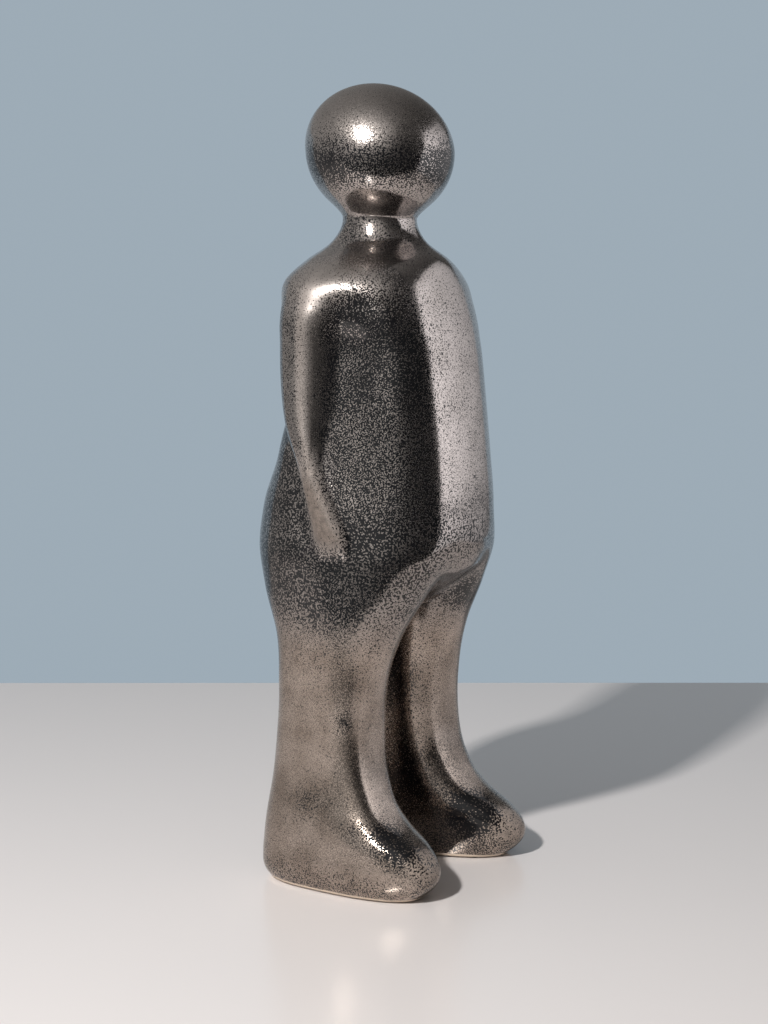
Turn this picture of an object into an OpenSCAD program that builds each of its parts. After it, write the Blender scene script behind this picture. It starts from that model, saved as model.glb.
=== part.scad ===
// Standing faceless figure, a hollow glazed ceramic statuette. It faces -Y and its left side is +X.
// The origin is on the resting surface, midway across and midway from front to back.

/* [Heights, from the sole upwards] */
// Sole to the crown of the arch between the legs
leg_h = 137; // [110:1:170]
// Crown of the arch to the widest level of the hips
hip_h = 32; // [26:1:45]
// Hips to the waist
flank_h = 75; // [60:1:100]
// Waist to the shoulders
chest_h = 45; // [36:1:60]
// Shoulders to the foot of the neck
collar_h = 38; // [30:1:50]
// Foot of the neck to the underside of the head
neck_h = 5; // [4:0.5:12]
// Underside of the head to its crown
head_h = 67; // [54:1:84]

/* [Feet and legs] */
// Width across the outsides of both feet
foot_span = 125; // [104:1:150]
// How far the toes reach in front of the middle line
toe_reach = 60.5; // [50:0.5:73]
// How far the heels reach behind the middle line
heel_reach = 42; // [35:0.5:50]
// Height of the foremost point of the toes above the sole
toe_h = 13; // [10:0.5:15]
// How far the toes curl back under, down to the sole
toe_curl = 10; // [6:0.5:11]
// How far the heels curl back under, down to the sole
heel_curl = 4; // [2:0.5:6]
// Rounding of the sides of the sole
rim = 2.5; // [1:0.5:4]
// Slant of the feet, outwards for each mm forwards
toe_out = 0.05; // [0:0.01:0.12]
// Height of the slimmest level of the shins above the sole
shin_h = 99; // [80:1:110]
// Width across the outsides of both shins
shin_span = 113; // [95:1:136]
// Front of the shins from the middle line
shin_front = 22; // [18:0.5:28]
// Back of the calves from the middle line
calf_back = 33.5; // [28:0.5:40]
// Gap between the soles
sole_gap = 37; // [30:1:44]
// Gap between the legs where the arch springs
leg_gap = 27; // [22:1:33]
// Height of the springing of the arch above the sole
spring_h = 79; // [65:1:95]

/* [Body] */
// Width across the hips
hip_span = 114; // [100:1:136]
// Front of the hips from the middle line
hip_front = 56.5; // [47:0.5:68]
// Back of the hips from the middle line
hip_back = 59; // [49:0.5:71]
// Width at the waist, without the arms
waist_span = 105; // [92:1:126]
// Front of the waist from the middle line
waist_front = 52.5; // [44:0.5:63]
// Back of the waist from the middle line
waist_back = 43; // [36:0.5:52]
// Width across the shoulders, without the arms
shoulder_span = 107; // [90:1:128]
// Front of the shoulders from the middle line
shoulder_front = 44; // [37:0.5:53]
// Back of the shoulders from the middle line
shoulder_back = 46; // [39:0.5:55]
// Diameter of the neck
neck_d = 37; // [31:0.5:44]
// Width of the head
head_w = 73; // [61:1:87]
// Depth of the head from front to back
head_l = 75.5; // [63:0.5:90]
// How far the crown of the head leans back
head_lean = 4; // [0:0.5:6]

/* [Arms in relief] */
// How far an arm stands out from the body
arm_relief = 7; // [4:0.5:8]
// Half width of an upper arm
arm_w = 13; // [11:0.5:15]
// Depth of the hollow in front of an arm
hollow_depth = 7.5; // [4:0.5:8.5]
// Depth of the groove behind an arm
groove_depth = 3; // [1:0.5:4]
// How far the fingertips lie in front of the middle line
hand_front = 8; // [4:1:12]
// How far the elbows lie behind the middle line
elbow_back = 14; // [10:1:18]
// Fingertips below the widest level of the hips
hand_drop = 2; // [0:1:10]

/* [Casting] */
// Wall thickness
wall = 5.5; // [4:0.5:7]
// Thickness of the soles
sole_t = 6; // [4.5:0.5:8]
// Diameter of the pouring hole in each sole
gate_d = 14; // [10:0.5:18]
// Diameter of the seat round a pouring hole
seat_d = 20; // [16:0.5:24]
// Depth of that seat
seat_h = 1.6; // [1:0.1:2.5]

/* [Stoppers and pads] */
// Thickness of a stopper's flange
flange_t = 1.4; // [0.8:0.1:1.6]
// Clearance between a stopper and its hole, all round
stopper_gap = 0.2; // [0.1:0.05:0.4]
// How far a stopper's lip overhangs the inner edge of its hole
lip = 0.9; // [0.5:0.1:1.5]
// Wall of a stopper's hollow plug
plug_wall = 2.5; // [1.5:0.1:3.5]
// Diameter of a felt pad
pad_d = 10; // [8:0.5:14]
// Thickness of a felt pad
pad_t = 1; // [0.5:0.1:2]
// Heel pad to the back edge of the sole, and ball pads to its front edge
pad_inset = 5; // [3:0.5:7]
// Middle to middle of the two pads under the ball of a foot
ball_pads_apart = 15; // [14.5:0.5:17]

/* [Hidden] */
$fn = 64;

// Levels above the resting surface
z_sole = pad_t;
z_toe = z_sole + toe_h;
z_spring = z_sole + spring_h;
z_shin = z_sole + shin_h;
z_fork = z_sole + leg_h;
z_hip = z_fork + hip_h;
z_waist = z_hip + flank_h;
z_shoulder = z_waist + chest_h;
z_neck = z_shoulder + collar_h;
z_head = z_neck + neck_h + head_h / 2;
z_crown = z_neck + neck_h + head_h;
z_hand = z_hip - hand_drop;
z_arm_top = z_shoulder + collar_h * 0.55;
// Foot of the neck to its slimmest level
throat_h = 12;
// Step that brings the middle of the whole depth onto the origin
y_step = (toe_reach - hip_back) / 2;

// Named sections of the body: height, half width, front and back
toe = [z_toe, foot_span / 2, toe_reach, heel_reach];
shin = [z_shin, shin_span / 2, shin_front, calf_back];
hip = [z_hip, hip_span / 2, hip_front, hip_back];
waist = [z_waist, waist_span / 2, waist_front, waist_back];
shoulder = [z_shoulder, shoulder_span / 2, shoulder_front, shoulder_back];
collar = [z_neck, neck_d / 2 + 1.5, neck_d / 2 + 1, neck_d / 2 + 1.5];
throat = [z_neck + throat_h, neck_d / 2, neck_d / 2, neck_d / 2];

// A section between two named ones, by its share of the way in height, half width, front and back
function between(a, b, share) = [for (k = [0:3]) a[k] + (b[k] - a[k]) * share[k]];

sections = [
    toe - [toe_h, rim, toe_curl, heel_curl],
    toe - [toe_h * 0.81, rim * 0.48, toe_curl * 0.65, heel_curl * 0.45],
    toe,
    between(toe, shin, [0.065, 0.07, 0.05, 0.05]),
    between(toe, shin, [0.135, 0.14, 0.22, 0.11]),
    between(toe, shin, [0.22, 0.26, 0.54, 0.22]),
    between(toe, shin, [0.31, 0.42, 0.77, 0.37]),
    between(toe, shin, [0.44, 0.67, 0.93, 0.59]),
    between(toe, shin, [0.72, 0.92, 1.05, 0.88]),
    shin,
    between(shin, hip, [0.36, 0.22, 0.25, 0.15]),
    between(shin, hip, [0.71, 0.78, 0.70, 0.69]),
    hip,
    between(hip, waist, [0.27, 0.33, -0.21, 0.11]),
    between(hip, waist, [0.60, 0.89, 0.19, 0.71]),
    waist,
    between(waist, shoulder, [0.56, 0.10, 0.41, 0.58]),
    shoulder,
    between(shoulder, collar, [0.34, 0.09, 0.17, 0.07]),
    between(shoulder, collar, [0.60, 0.50, 0.39, 0.37]),
    between(shoulder, collar, [0.82, 0.91, 0.80, 0.78]),
    collar,
    throat
];

// Along an arm, from the fingertips at 0 to the top of the shoulder at 1: share of the way back from
// hand to elbow, of the relief, of the half width, of the hollow in front and of the groove behind
arm_line = [
    [0.00, 0.02, 0.00, 0.62, 0.00, 0.00],
    [0.03, 0.03, 0.34, 0.60, 0.06, 0.40],
    [0.07, 0.08, 0.62, 0.66, 0.14, 0.75],
    [0.15, 0.29, 0.80, 0.58, 0.25, 0.85],
    [0.30, 0.68, 0.92, 0.48, 0.44, 0.85],
    [0.46, 0.94, 1.00, 0.80, 0.70, 0.90],
    [0.60, 1.00, 1.00, 1.00, 0.96, 1.00],
    [0.72, 1.00, 0.93, 1.03, 0.98, 0.85],
    [0.84, 0.96, 0.68, 1.08, 0.48, 0.35],
    [0.91, 0.92, 0.34, 1.12, 0.08, 0.10],
    [0.96, 0.88, 0.10, 1.15, 0.00, 0.00],
    [1.00, 0.84, 0.00, 1.15, 0.00, 0.00]
];
// How squarely an arm's sides fall: behind, in front at the hand, and in front at the upper arm
edge_back = 4;
edge_hand = 6;
edge_upper = 2.4;
// Shares of the arm over which its front edge changes, and over which the hollow narrows
forearm = [0.3, 0.55];
armpit = [0.65, 1];
// Share of the half width at which the relief has come to its full height
relief_full = 0.62;
// Middle of the hollow in front of an arm, its reach towards the arm and away from it, how squarely it
// ends there, and how much narrower it gets towards the shoulder
hollow_offset = 1.73 * arm_w;
hollow_near = 0.88 * arm_w;
hollow_far = 1.54 * arm_w;
hollow_edge = 3;
hollow_taper = 0.55;
// Middle of the groove behind an arm, in half widths of the arm, and its half width
groove_offset = 1.75;
groove_w = 0.7 * arm_w;
// How much of an arm's relief the inside of the wall follows
inner_relief = 0.5;

// Middle of a leg from front to back, where its two quarters meet
y_mid = 4;
// Squareness of a section's quarters: 2 is an ellipse. A leg's front has one at the toes and one at the shin
square_inner = [2, 2.6];
square_outer = [2.6, 3.4];
square_back = 2.7;
square_body = 2.25;
// Levels over which a leg's front turns squarer above the toes, and rounder again at the knees
toe_to_shin = 24;
shin_to_knee = 40;
z_knee = z_shin + 18;
// How the arch closes in from the front and back of a leg, how far inside it is round, and how much higher
// it is inside the wall, in wall thicknesses
arch_power = 2;
arch_round = 3;
arch_lift = 1.3;
// Levels between which the outside of the legs turns into the outside of the hips
z_legs_end = z_fork - 43;
z_hips_start = z_hip + 15;
// Level at which the cleft above the arch has come to the surface, how fast it does, and how closely that
// speed keeps to the middle
z_merge = z_fork + 22;
merge_power = 3;
merge_focus = 4;
// Rounding of the crease between head and neck, how much lower the chin hangs than a ball's underside, and
// the share of the head's lean below its middle
chin_blend = 7;
chin_drop = 1.5;
chin_lean = 0.4;
// Levels below which the head no longer counts, at which the rows of the trunk end, and over which the body's
// squareness fades
z_headless = z_neck - 10;
z_neck_rows = z_neck + 10;
z_round = z_neck - 8;
round_h = 40;
// Most that a leaning wall is thickened by
lean_limit = 1.8;

// How much closer the rows of the feet lie than those of the shins
foot_crowding = 1.3;

// A difference too small to matter
tiny = 1e-9;

// Smooth curve through the rows of a table, in column k
function span_of(t, z, i = 0) = i >= len(t) - 2 || z < t[i + 1][0] ? i : span_of(t, z, i + 1);
function chord(t, i, k) = (t[i + 1][k] - t[i][k]) / (t[i + 1][0] - t[i][0]);
function slope(t, i, k) =
    i == 0 ? chord(t, 0, k) :
    i == len(t) - 1 ? chord(t, i - 1, k) :
    let (below = t[i][0] - t[i - 1][0], above = t[i + 1][0] - t[i][0])
    (chord(t, i - 1, k) * above + chord(t, i, k) * below) / (below + above);
function curve(t, z, k) =
    let (i = span_of(t, z),
        step = t[i + 1][0] - t[i][0],
        u = min(max((z - t[i][0]) / step, 0), 1))
    (1 + 2 * u) * (1 - u) ^ 2 * t[i][k] + u * (1 - u) ^ 2 * step * slope(t, i, k)
    + u ^ 2 * (3 - 2 * u) * t[i + 1][k] + u ^ 2 * (u - 1) * step * slope(t, i + 1, k);

function ease(u) = let (c = min(max(u, 0), 1)) c * c * (3 - 2 * c);
function mix(a, b, u) = a + (b - a) * u;
function share_of(v, span) = (v - span[0]) / (span[1] - span[0]);
function blended_max(a, b, width) = max(a, b) + max(width - abs(a - b), 0) ^ 2 / (4 * width);

// Inset of a wall across a surface that leans, so that the wall keeps its thickness
function leaning(z, k, inset) =
    let (rise = (curve(sections, z + 1, k) - curve(sections, z - 1, k)) / 2)
    inset * min(sqrt(1 + rise ^ 2), lean_limit);

// Half width, front and back of the head, and of the whole figure, at one level
function head_reach(z, inset) =
    let (up = z > z_head,
        rise = head_h / 2 - inset + (up ? 0 : chin_drop),
        round = sqrt(max(0, 1 - ((z - z_head) / rise) ^ 2)),
        back = head_lean * (z - z_head) / (head_h / 2) * (up ? 1 : chin_lean))
    [(head_w / 2 - inset) * round, (head_l / 2 - inset) * round - back, (head_l / 2 - inset) * round + back];
function reach(z, inset) =
    let (body = [for (k = [1:3]) curve(sections, z, k) - leaning(z, k, inset)],
        head = head_reach(z, inset))
    z > z_head ? head :
    z > z_headless ? [for (k = [0:2]) blended_max(body[k], head[k], chin_blend)] : body;

// Half the gap that the legs would have at one level without the arch
function straight_gap(z, inset) =
    mix(sole_gap, leg_gap, min(max((z - z_sole) / spring_h, 0), 1)) / 2 + inset;

// How far the arch has closed that gap: round on the inside of a leg, softer towards its front and back
function arch(z, inset, inside) =
    let (up = min(max((z - z_spring) / (z_fork + arch_lift * inset - z_spring), 0), 1))
    1 - (1 - up ^ 2) ^ mix(1, 0.5, inside);

// Angles of the points of half a section: few in the inner quarters, more in the outer ones
function angles(n, inner) = [
    for (k = [0:n - 1]) inner * k / n,
    for (k = [0:4 * n - 1]) inner + (180 - 2 * inner) * k / (4 * n),
    for (k = [0:n]) 180 - inner + inner * k / n
];

// Section of one leg, from its inner point round the front, the outside and the back
function leg_section(r, z, inset, n) =
    let (straight = straight_gap(z, inset),
        mid = (r[0] + straight) / 2,
        slant = toe_out * ease((z_spring - z) / spring_h),
        shinny = ease((z - z_toe) / toe_to_shin) * ease((z_knee - z) / shin_to_knee),
        inner = mix(square_inner[0], square_inner[1], shinny),
        outer = mix(square_outer[0], square_outer[1], shinny))
    [for (a = angles(n, 45))
        let (c = cos(2 * a), s = sin(2 * a), far = abs(c),
            p = 2 / (s < 0 ? square_back : c > 0 ? inner : outer),
            closing = straight * arch(z, inset, far ^ arch_round) * far ^ arch_power,
            x = c < 0 ? mid + (r[0] - mid) * far ^ p : mid - (mid - straight) * far ^ p - closing,
            y = s < 0 ? y_mid + (r[2] - y_mid) * abs(s) ^ p : y_mid - (r[1] + y_mid) * abs(s) ^ p)
        [x + slant * (y_mid - y), y]];

// Half section of the body, from the front middle round the side to the back middle
function body_section(r, z, n) =
    let (bodily = min(max((z_round - z) / round_h, 0), 1),
        p = 2 / mix(2, square_body, bodily),
        mid = mix((r[2] - r[1]) / 2, y_mid, bodily))
    [for (a = angles(n, 30))
        let (c = cos(a))
        [r[0] * abs(sin(a)) ^ p, c > 0 ? mid - (r[1] + mid) * c ^ p : mid + (r[2] - mid) * abs(c) ^ p]];

// How far the arm, its hollow and its groove move the skin outwards at one point
function bell(d, width, power) = exp(-abs(d / width) ^ power);
function relief(p, z, half_width, inset) =
    let (up = (z - z_hand) / (z_arm_top - z_hand),
        d = p[1] - mix(-hand_front, elbow_back, curve(arm_line, up, 1)),
        width = arm_w * curve(arm_line, up, 3),
        edge = d > 0 ? edge_back : mix(edge_hand, edge_upper, ease(share_of(up, forearm))),
        e = (d + hollow_offset) / (1 - hollow_taper * ease(share_of(up, armpit))))
    up <= 0 || up >= 1 ? 0 :
    ease(p[0] / (relief_full * half_width)) * (
        arm_relief * max(curve(arm_line, up, 2), 0) * mix(1, inner_relief, inset / wall)
            * bell(d, width, edge)
        - hollow_depth * max(curve(arm_line, up, 4), 0)
            * (e > 0 ? bell(e, hollow_near, 2) : bell(e, hollow_far, hollow_edge))
        - groove_depth * max(curve(arm_line, up, 5), 0) * bell(d - groove_offset * width, groove_w, 2));

// Half section of the figure at one level. The cleft is 0 where the legs are apart and 1 where they are one,
// and it closes faster at the middle than further out
function half_section(z, cleft, inset, n) =
    let (r = reach(z, inset),
        leg = leg_section(r, z, inset, n),
        body = body_section(r, z, n),
        outside = ease((z - z_legs_end) / (z_hips_start - z_legs_end)),
        last = len(leg) - 1)
    [for (j = [0:last])
        let (inner = ease(1 - min(j, last - j) / n),
            closed = cleft ^ (1 / mix(1, merge_power, inner ^ merge_focus)),
            p = mix(leg[j], body[j], mix(outside, closed, inner)),
            out = p - [0, y_mid],
            q = p + out / max(norm(out), 1) * relief(p, z, r[0], inset))
        [q[0], q[1], z]];

// The rows of half sections, from the sole to just under the crown
function rows(inset, base, n, counts) =
    let (fork = z_fork + arch_lift * inset, merge = z_merge + inset, top = z_crown - inset)
    [
        for (k = [0:counts[0] - 1])
            half_section(mix(base, z_spring, (k / counts[0]) ^ foot_crowding), 0, inset, n),
        for (k = [0:counts[1] - 1])
            half_section(mix(z_spring, fork, sin(90 * k / counts[1])), 0, inset, n),
        half_section(fork, 0, inset, n),
        for (k = [1:counts[2]])
            let (rise = (k / counts[2]) ^ merge_power)
            half_section(mix(fork, merge, rise), rise, inset, n),
        for (k = [1:counts[3]])
            half_section(mix(merge, z_neck_rows, k / counts[3]), 1, inset, n),
        for (k = [1:counts[4] - 1])
            half_section(mix(z_neck_rows, top, sin(90 * k / counts[4])), 1, inset, n)
    ];

// Closed skin over the rows of both halves, with a flat sole under each leg and a point at the crown
module skin(inset, base, n, counts) {
    half = rows(inset, base, n, counts);
    wide = len(half[0]);
    each_side = len(half) * wide;
    crown = [0, head_lean, z_crown - inset];
    points = [for (side = [1, -1], row = half, p = row) [abs(p[0]) < tiny ? 0 : side * p[0], p[1], p[2]]];
    foot = [for (side = [1, -1]) [side * gate_x, gate_y, base]];
    top = 2 * each_side;
    faces = [
        for (side = [0, 1])
            let (first = side * each_side, last = first + each_side - wide)
            for (j = [0:wide - 2]) each [
                turned([top + 1 + side, first + j + 1, first + j], side),
                turned([top, last + j, last + j + 1], side),
                for (i = [0:len(half) - 2])
                    let (a = first + i * wide + j)
                    each [
                        turned([a, a + 1, a + wide + 1], side),
                        turned([a, a + wide + 1, a + wide], side)
                    ]
            ]
    ];
    polyhedron(concat(points, [crown], foot), faces);
}
function turned(face, side) = side == 0 ? [face[2], face[1], face[0]] : face;

// Middle of each sole, where its pouring hole is
gate_x = (sole_gap / 2 + foot_span / 2) / 2;
gate_y = -6;

module figure_casting() {
    color([0.36, 0.34, 0.32])
    translate([0, y_step, 0])
    difference() {
        skin(0, z_sole, 7, [16, 6, 5, 19, 11]);
        skin(wall, z_sole + sole_t, 3, [8, 4, 4, 10, 7]);
        for (side = [-1, 1]) translate([side * gate_x, gate_y, z_sole]) {
            translate([0, 0, -1]) cylinder(d = gate_d, h = sole_t + 2);
            translate([0, 0, -1]) cylinder(d = seat_d, h = seat_h + 1);
        }
    }
}

// Soft stopper, pushed into a pouring hole from below until its flange meets the seat
module pour_stopper(side) {
    color([0.12, 0.12, 0.12])
    translate([side * gate_x, gate_y + y_step, z_sole + seat_h])
    rotate_extrude()
    polygon([
        [gate_d / 2 - stopper_gap - plug_wall, 0],
        [0, 0],
        [0, -flange_t],
        [seat_d / 2 - stopper_gap, -flange_t],
        [seat_d / 2 - stopper_gap, 0],
        [gate_d / 2 - stopper_gap, 0],
        [gate_d / 2 - stopper_gap, sole_t - seat_h + stopper_gap],
        [gate_d / 2 + lip, sole_t - seat_h + stopper_gap + lip],
        [gate_d / 2 - stopper_gap, sole_t - seat_h + stopper_gap + 4 * lip],
        [gate_d / 2 - stopper_gap - plug_wall, sole_t - seat_h + stopper_gap + 4 * lip]
    ]);
}

// Felt pad stuck under a sole, to one side of the foot's own middle line
module pad(side, y, aside = 0) {
    color([0.16, 0.15, 0.15])
    translate([side * (gate_x + aside + toe_out * (gate_y - y)), y + y_step, 0])
    cylinder(d = pad_d, h = pad_t);
}

heel_pad_y = heel_reach - heel_curl - pad_inset - pad_d / 2;
ball_pad_y = -(toe_reach - toe_curl - pad_inset - pad_d);
ball_pad_aside = ball_pads_apart / 2;

module right_pour_stopper() pour_stopper(-1);
module left_pour_stopper() pour_stopper(1);
module right_heel_pad() pad(-1, heel_pad_y);
module right_inner_ball_pad() pad(-1, ball_pad_y, -ball_pad_aside);
module right_outer_ball_pad() pad(-1, ball_pad_y, ball_pad_aside);
module left_heel_pad() pad(1, heel_pad_y);
module left_inner_ball_pad() pad(1, ball_pad_y, -ball_pad_aside);
module left_outer_ball_pad() pad(1, ball_pad_y, ball_pad_aside);

figure_casting();
right_pour_stopper();
left_pour_stopper();
right_heel_pad();
right_inner_ball_pad();
right_outer_ball_pad();
left_heel_pad();
left_inner_ball_pad();
left_outer_ball_pad();
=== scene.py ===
"""A standing faceless figure of glazed ceramic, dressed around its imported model."""
import math

import bmesh
import bpy
import numpy as np
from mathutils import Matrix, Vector


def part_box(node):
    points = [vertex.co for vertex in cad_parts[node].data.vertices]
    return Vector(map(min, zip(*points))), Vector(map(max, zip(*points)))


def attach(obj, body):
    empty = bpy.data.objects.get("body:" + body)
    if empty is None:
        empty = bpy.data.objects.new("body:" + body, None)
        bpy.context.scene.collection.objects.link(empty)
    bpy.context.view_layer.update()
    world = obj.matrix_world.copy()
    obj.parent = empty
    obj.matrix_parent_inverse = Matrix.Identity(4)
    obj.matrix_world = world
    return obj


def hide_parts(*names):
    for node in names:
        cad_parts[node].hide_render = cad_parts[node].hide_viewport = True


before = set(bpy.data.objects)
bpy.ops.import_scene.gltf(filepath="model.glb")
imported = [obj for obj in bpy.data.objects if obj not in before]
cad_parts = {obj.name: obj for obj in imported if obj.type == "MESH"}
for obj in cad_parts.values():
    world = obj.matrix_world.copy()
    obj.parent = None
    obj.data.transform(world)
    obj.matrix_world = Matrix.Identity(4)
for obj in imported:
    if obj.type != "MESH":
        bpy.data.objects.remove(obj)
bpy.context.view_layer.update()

# The figure
# One hollow slip casting of pale stoneware: head, neck, trunk, arms, legs and soles in one skin.
# It is dipped in a metallic black glaze and fired standing on its bare soles.
mm = 0.001
# Heights over the table, in millimetres as all sizes of the figure are
z_sole = 1.0
z_spring = 80.0
z_fork = 138.0
z_merge = 160.0
z_hip = 170.0
z_waist = 245.0
z_shoulder = 290.0
z_neck = 328.0
z_head = 366.5
z_crown = 400.0
z_hand = 168.0
z_arm_top = 310.9
# How far the sections' zero line lies behind the origin, and the middle of a section behind that line
y_step = 0.75
y_mid = 4.0
# Gap between the legs at the soles and at the spring of the arch, and how far the toes turn out
sole_gap = 37.0
leg_gap = 27.0
toe_out = 0.05
# The head, how far its crown leans back, the share of that by which its chin juts, and how it meets the neck
head_w = 73.0
head_l = 75.5
head_h = 67.0
head_lean = 4.0
chin_jut = 0.4
chin_drop = 1.5
chin_blend = 7.0
# The head has no part in the sections below the nape, and its own rows begin under the chin
z_nape = z_neck - 10
z_chin = z_neck + 10
# The pouring hole in a sole, and the seat round it
gate_x = 40.5
gate_y = -6.0
gate_d = 14.0
sole_t = 6.0
seat_d = 20.0
seat_h = 1.6
seat_bevel = 0.3
# Radius and height over the sole, from a cap over the hole's hidden end out to the edge of its seat
gate_profile = [
    (0.0, 12.0),
    (9.0, 11.0),
    (9.5, sole_t),
    (gate_d / 2, sole_t),
    (gate_d / 2, seat_h),
    (seat_d / 2, seat_h),
    (seat_d / 2, seat_bevel),
    (seat_d / 2 + seat_bevel, 0.0),
]
# Shares of the way from there to the outline of the sole
sole_shares = (0.3, 0.7, 0.95)

# Levels of the body: height, half width, front and back of the middle line
toe = np.array([14.0, 62.5, 60.5, 42.0])
shin = np.array([100.0, 56.5, 22.0, 33.5])
hip = np.array([z_hip, 57.0, 56.5, 59.0])
waist = np.array([z_waist, 52.5, 52.5, 43.0])
shoulder = np.array([z_shoulder, 53.5, 44.0, 46.0])
collar = np.array([z_neck, 20.0, 19.5, 20.0])
throat = np.array([z_neck + 12, 18.5, 18.5, 18.5])


def between(low, high, *share):
    """A level between two named ones, by its share of the way in height, half width, front and back."""
    return low + (high - low) * np.array(share)


levels = np.array([
    toe - [13, 2.5, 10, 4],
    toe - [10.5, 1.2, 6.5, 1.8],
    toe,
    between(toe, shin, 0.065, 0.07, 0.05, 0.05),
    between(toe, shin, 0.135, 0.14, 0.22, 0.11),
    between(toe, shin, 0.22, 0.26, 0.54, 0.22),
    between(toe, shin, 0.31, 0.42, 0.77, 0.37),
    between(toe, shin, 0.44, 0.67, 0.93, 0.59),
    between(toe, shin, 0.72, 0.92, 1.05, 0.88),
    shin,
    between(shin, hip, 0.36, 0.22, 0.25, 0.15),
    between(shin, hip, 0.71, 0.78, 0.70, 0.69),
    hip,
    between(hip, waist, 0.27, 0.33, -0.21, 0.11),
    between(hip, waist, 0.60, 0.89, 0.19, 0.71),
    waist,
    between(waist, shoulder, 0.56, 0.10, 0.41, 0.58),
    shoulder,
    between(shoulder, collar, 0.34, 0.09, 0.17, 0.07),
    between(shoulder, collar, 0.60, 0.50, 0.39, 0.37),
    between(shoulder, collar, 0.82, 0.91, 0.80, 0.78),
    collar,
    throat,
])

# Exponents of the sections' outlines: an oval has 2, and a squarer one has more. The legs have one for
# the toes and one for the shins, on the inner and on the outer side of their fronts.
oval = 2.0
trunk_square = 2.25
calf_square = 2.7
inner_square = (2.0, 2.6)
outer_square = (2.6, 3.4)
# Angle of a half section that its inner quarters take up, on a leg and on the trunk
leg_inner = 45
trunk_inner = 30
# Heights between which a shape sets in: the shin above the toes and below the hips, and the trunk's side
shin_foot = (14, 38)
shin_top = (118, 78)
trunk_side = (z_fork - 43, z_hip + 15)
# The trunk's section squares up over this height, from a little below the neck down
z_round = z_neck - 8
round_over = 40.0
# How much sooner the cleft between the legs closes at its middle, and how near the middle that is
crease = 3
crease_edge = 4
# Powers that crowd the rows towards the soles and towards the fork, and the distance that welds points
sole_crowding = 1.3
fork_crowding = 3
weld = 1e-6

# Along an arm, from the fingertips at 0 to the top of the shoulder at 1: share of the way back from
# hand to elbow, of the relief, of the half width, of the hollow in front and of the groove behind
arm_line = np.array([
    [0.00, 0.02, 0.00, 0.62, 0.00, 0.00],
    [0.03, 0.03, 0.34, 0.60, 0.06, 0.40],
    [0.07, 0.08, 0.62, 0.66, 0.14, 0.75],
    [0.15, 0.29, 0.80, 0.58, 0.25, 0.85],
    [0.30, 0.68, 0.92, 0.48, 0.44, 0.85],
    [0.46, 0.94, 1.00, 0.80, 0.70, 0.90],
    [0.60, 1.00, 1.00, 1.00, 0.96, 1.00],
    [0.72, 1.00, 0.93, 1.03, 0.98, 0.85],
    [0.84, 0.96, 0.68, 1.08, 0.48, 0.35],
    [0.91, 0.92, 0.34, 1.12, 0.08, 0.10],
    [0.96, 0.88, 0.10, 1.15, 0.00, 0.00],
    [1.00, 0.84, 0.00, 1.15, 0.00, 0.00],
])
way_back, rise_share, width_share, hollow_share, groove_share = range(1, 6)
arm_w = 13.0
arm_relief = 7.0
hand_front = 8.0
elbow_back = 14.0
# Share of the figure's half width from which the relief is full
arm_flank = 0.62
# How sharp the arm's edge is behind, in front of the hand and in front of the upper arm, and the shares
# of the way up between which the front one changes
back_edge = 4
hand_edge = 6
upper_edge = 2.4
elbow = (0.30, 0.55)
# The hollow lies in front of the arm and narrows towards its top, and the groove lies behind it
hollow_depth = 7.5
hollow_offset = 1.73 * arm_w
hollow_near = 0.88 * arm_w
hollow_far = 1.54 * arm_w
hollow_far_edge = 3
hollow_taper = 0.55
hollow_closes = (0.65, 1.0)
groove_depth = 3.0
groove_offset = 1.75
groove_width = 0.7 * arm_w


def curve(table, at, column):
    """Smooth curve through the rows of a table, in one column."""
    x, y = table[:, 0], table[:, column]
    step = np.diff(x)
    chord = np.diff(y) / step
    slope = np.empty_like(y)
    slope[0], slope[-1] = chord[0], chord[-1]
    slope[1:-1] = (chord[:-1] * step[1:] + chord[1:] * step[:-1]) / (step[1:] + step[:-1])
    i = np.clip(np.searchsorted(x, at, side="right") - 1, 0, len(x) - 2)
    u = np.clip((at - x[i]) / step[i], 0, 1)
    return (
        (1 + 2 * u) * (1 - u) ** 2 * y[i] + u * (1 - u) ** 2 * step[i] * slope[i]
        + u ** 2 * (3 - 2 * u) * y[i + 1] + u ** 2 * (u - 1) * step[i] * slope[i + 1]
    )


def ease(u):
    """A share that starts and ends softly."""
    c = np.clip(u, 0, 1)
    return c * c * (3 - 2 * c)


def ramp(value, start, end):
    """Soft rise from 0 at the start to 1 at the end, which may lie below the start."""
    return ease((value - start) / (end - start))


def mix(a, b, u):
    return a + (b - a) * u


def bell(d, width, power=2.0):
    return np.exp(-np.abs(d / width) ** power)


def reach(z):
    """Half width, front and back of the figure at one level."""
    body = np.array([curve(levels, z, k) for k in (1, 2, 3)])
    if z <= z_nape:
        return body
    up = z > z_head
    rise = head_h / 2 + (0 if up else chin_drop)
    bulge = math.sqrt(max(0.0, 1 - ((z - z_head) / rise) ** 2))
    back = head_lean * (z - z_head) / (head_h / 2) * (1 if up else chin_jut)
    head = np.array([head_w / 2 * bulge, head_l / 2 * bulge - back, head_l / 2 * bulge + back])
    if up:
        return head
    overlap = np.maximum(chin_blend - np.abs(body - head), 0)
    return np.maximum(body, head) + overlap ** 2 / (4 * chin_blend)


def straight_gap(z):
    """Half the gap that the legs would have at one level without the arch."""
    return mix(sole_gap, leg_gap, np.clip((z - z_sole) / (z_spring - z_sole), 0, 1)) / 2


def arch(z, inside):
    """How far the arch has closed the gap: soft at the front and back of a leg, round inside."""
    up = np.clip((z - z_spring) / (z_fork - z_spring), 0, 1)
    return 1 - (1 - up ** 2) ** mix(1, 0.5, inside)


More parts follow.
